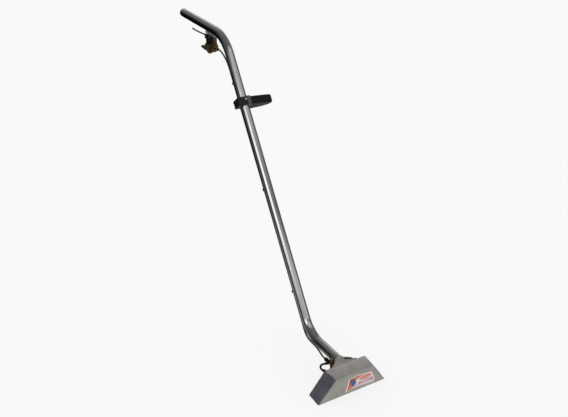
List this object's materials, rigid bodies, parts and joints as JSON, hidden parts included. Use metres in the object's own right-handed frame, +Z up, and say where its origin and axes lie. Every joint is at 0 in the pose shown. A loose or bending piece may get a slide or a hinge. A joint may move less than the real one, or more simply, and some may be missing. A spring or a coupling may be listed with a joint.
{
  "type": "carpet cleaner wand",
  "caption": "Carpet cleaning extraction wand: a bent polished vacuum tube with a flared floor head, a trigger valve under the handle, spray fittings and a side grip.",
  "frame": {"origin": "middle of the floor edge of the head's front plate", "axes": "+Z up from the floor, -Y to the head's front, +Y towards the hand end of the tube, +X to the side the front grip stands out to"},
  "size_m": [0.254, 1.1849, 1.0465],
  "materials": {
    "polished_steel": "polished stainless steel tube with fine drawing lines along it",
    "satin_steel": "satin brushed stainless sheet",
    "dark_steel": "dull dark plated steel",
    "aged_brass": "dull brass, darkened with use",
    "black_plastic": "moulded black plastic with a fine grain",
    "black_rubber": "smooth black rubber",
    "sticker": "printed glossy vinyl, no lettering"
  },
  "bodies": {
    "wand": {"main_tube": "polished_steel", "handle_tube": "polished_steel", "head_front_plate": "satin_steel", "head_top_plate": "satin_steel", "head_back_plate": "satin_steel", "head_left_end_plate": "satin_steel", "head_right_end_plate": "satin_steel", "head_slot_baffle": "satin_steel", "head_neck": "satin_steel", "tube_collar": "satin_steel", "front_label": "sticker", "solution_line": "polished_steel", "line_saddle_1": "polished_steel", "line_saddle_2": "polished_steel", "line_saddle_3": "polished_steel", "valve_strap": "satin_steel", "valve_riser": "aged_brass", "valve_body": "aged_brass", "valve_bonnet": "black_plastic", "trigger_pin": "polished_steel", "inlet_nipple": "aged_brass", "outlet_nut": "aged_brass", "outlet_ferrule": "aged_brass", "stem_o_ring": "black_rubber", "valve_spring": "polished_steel", "line_nut": "dark_steel", "hose_adapter": "black_plastic", "jet_hose": "black_rubber", "hose_ferrule_upper": "dark_steel", "hose_ferrule_lower": "dark_steel", "manifold_elbow": "aged_brass", "spray_manifold": "aged_brass", "strainer_barrel": "aged_brass", "jet_body_left": "aged_brass", "jet_cap_left": "black_plastic", "jet_tip_left": "aged_brass", "manifold_bracket_left": "satin_steel", "bracket_screw_left": "dark_steel", "manifold_plug": "aged_brass", "jet_body_right": "aged_brass", "jet_cap_right": "black_plastic", "jet_tip_right": "aged_brass", "manifold_bracket_right": "satin_steel", "bracket_screw_right": "dark_steel", "grip_body": "black_plastic", "grip_clamp_cap": "black_plastic", "grip_band": "satin_steel", "grip_clamp_screw": "polished_steel", "grip_bolt_1": "polished_steel", "grip_bolt_2": "polished_steel"},
    "trigger": {"trigger_lever": "dark_steel"},
    "stem": {"valve_stem": "polished_steel", "poppet_seal": "black_rubber"}
  },
  "joints": [
    {"name": "trigger_hinge", "type": "hinge", "parent": "wand", "child": "trigger", "pos_m": [0, 0.953, 0.969], "axis": [1, 0, 0], "range_deg": [0, 8.5], "stiffness_Nm_per_rad": 3, "springref_deg": -8.59},
    {"name": "stem_slide", "type": "slide", "parent": "wand", "child": "stem", "axis": [0, 0, -1], "range_m": [0, 0.0022], "deforming": ["valve_spring"]}
  ],
  "couplings": [
    {"joint": "stem_slide", "follows": "trigger_hinge", "m_per_rad": 0.014}
  ]
}
